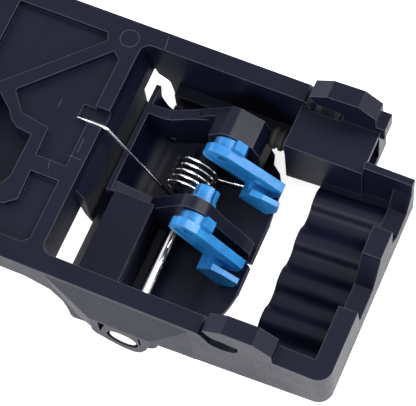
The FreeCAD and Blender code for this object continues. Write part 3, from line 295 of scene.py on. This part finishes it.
def twisting_spring(weld=2e-6):
    """The wound wire, copied from the return spring with its loose points welded and shaded smooth."""
    mesh = nodes["return_spring"].data.copy()
    loose = bmesh.new()
    loose.from_mesh(mesh)
    bmesh.ops.remove_doubles(loose, verts=loose.verts, dist=weld)
    loose.to_mesh(mesh)
    loose.free()
    mesh.shade_smooth()
    wound = bpy.data.objects.new("wound_wire", mesh)
    scene.collection.objects.link(wound)
    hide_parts("return_spring")
    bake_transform(wound)


twisting_spring()


# Studio ---------------------------------------------------------------------

def in_view(tree):
    """One for rays from the camera and rays off gloss or through glass, else nought."""
    ray = tree.nodes.new("ShaderNodeLightPath").outputs
    reflected = calculate(tree, "MAXIMUM", ray["Is Camera Ray"], ray["Is Glossy Ray"])
    return calculate(tree, "MAXIMUM", reflected, ray["Is Transmission Ray"])


def blend_by_view(tree, lighting, shown, output):
    """The lighting shader for diffuse rays, the shown one for what is in view."""
    mix = tree.nodes.new("ShaderNodeMixShader")
    for value, socket in zip((in_view(tree), lighting, shown), mix.inputs):
        tree.links.new(value, socket)
    tree.links.new(mix.outputs[0], output)


def light_room(soft_level, shown_level):
    """A world that lights softly from all sides and shows white."""
    world = bpy.data.worlds.new("studio")
    scene.world = world
    world.use_nodes = True
    tree = world.node_tree
    room = tree.nodes["Background"]
    white = tree.nodes.new("ShaderNodeBackground")
    for background, level in ((room, soft_level), (white, shown_level)):
        background.inputs["Color"].default_value = (1, 1, 1, 1)
        background.inputs["Strength"].default_value = level
    blend_by_view(tree, room.outputs[0], white.outputs[0], tree.nodes["World Output"].inputs[0])


def pale_floor(glow_level, shadow_reach):
    """Matt white paper that shows white to the camera; in gloss its glow carries a painted shadow, darker close
    to the object.
    """
    material = bpy.data.materials.new("pale_floor")
    material.use_nodes = True
    tree = material.node_tree
    paper = tree.nodes["Principled BSDF"]
    paper.inputs["Base Color"].default_value = (0.9, 0.9, 0.9, 1)
    paper.inputs["Roughness"].default_value = 0.9
    painted_shadow_ao = tree.nodes.new("ShaderNodeAmbientOcclusion")
    painted_shadow_ao.samples = 8
    painted_shadow_ao.inputs["Distance"].default_value = shadow_reach
    ray = tree.nodes.new("ShaderNodeLightPath").outputs
    # painted shadow: for rays other than camera rays the glow is dimmed by ambient occlusion close to the
    # object
    clear = calculate(tree, "MAXIMUM", ray["Is Camera Ray"], painted_shadow_ao.outputs["AO"])
    glow = tree.nodes.new("ShaderNodeEmission")
    tree.links.new(calculate(tree, "MULTIPLY", clear, glow_level), glow.inputs["Strength"])
    both = tree.nodes.new("ShaderNodeAddShader")
    tree.links.new(paper.outputs[0], both.inputs[0])
    tree.links.new(glow.outputs[0], both.inputs[1])
    blend_by_view(tree, paper.outputs[0], both.outputs[0], tree.nodes["Material Output"].inputs[0])
    return material


def lay_floor(half_side, height, material):
    mesh = bpy.data.meshes.new("floor")
    corners = [(x * half_side, y * half_side, height) for x, y in ((-1, -1), (1, -1), (1, 1), (-1, 1))]
    mesh.from_pydata(corners, [], [(0, 1, 2, 3)])
    mesh.materials.append(material)
    floor = bpy.data.objects.new("floor", mesh)
    scene.collection.objects.link(floor)


def softbox(name, azimuth, elevation, distance, size, power, tint=(1, 1, 1)):
    """A square lamp that looks at the object from a direction, given in degrees."""
    light = bpy.data.lights.new(name, "AREA")
    light.size = size
    light.energy = power
    light.color = tint
    lamp = bpy.data.objects.new(name, light)
    scene.collection.objects.link(lamp)
    turn, lift = math.radians(azimuth), math.radians(elevation)
    way = Vector((math.sin(turn) * math.cos(lift), -math.cos(turn) * math.cos(lift), math.sin(lift)))
    middle = Vector((0, 0, 30)) * MM
    lamp.location = middle + way * distance
    lamp.rotation_euler = way.to_track_quat("Z", "Y").to_euler()


light_room(soft_level=0.42, shown_level=1.0)
lay_floor(half_side=3, height=-0.0004, material=pale_floor(glow_level=0.75, shadow_reach=0.12))
softbox("front_box", -8, 28, 1.6, 1.0, 23)
softbox("right_box", 118, 46, 1.6, 0.8, 24)
softbox("left_box", -112, 20, 1.6, 1.0, 9, tint=(0.72, 0.84, 1))
softbox("top_box", 20, 80, 1.8, 0.7, 6)


# Camera ---------------------------------------------------------------------

def place_camera(azimuth, elevation, roll, aim, distance, focal_pixels, picture_width):
    """The photograph's view: angles in degrees, the aim in millimetres and the distance in metres."""
    turn, lift, tilt = (math.radians(angle) for angle in (azimuth, elevation, roll))
    looks = Vector((-math.cos(lift) * math.sin(turn), math.cos(lift) * math.cos(turn), -math.sin(lift)))
    level_right = Vector((math.cos(turn), math.sin(turn), 0))
    level_up = level_right.cross(looks)
    right = level_right * math.cos(tilt) + level_up * math.sin(tilt)
    up = level_up * math.cos(tilt) - level_right * math.sin(tilt)
    data = bpy.data.cameras.new("camera")
    data.sensor_fit = "HORIZONTAL"
    data.sensor_width = 36
    data.lens = focal_pixels / picture_width * data.sensor_width
    data.clip_start = 0.05
    data.clip_end = 10
    camera = bpy.data.objects.new("camera", data)
    scene.collection.objects.link(camera)
    scene.camera = camera
    stand = Matrix.Translation(Vector(aim) * MM - looks * distance)
    camera.matrix_world = stand @ Matrix((right, up, -looks)).transposed().to_4x4()


place_camera(azimuth=33.065, elevation=67.322, roll=-10.146, aim=(34.1, -6.5, 54.0), distance=0.893,
             focal_pixels=1984.5, picture_width=416)

scene.view_settings.view_transform = "Standard"
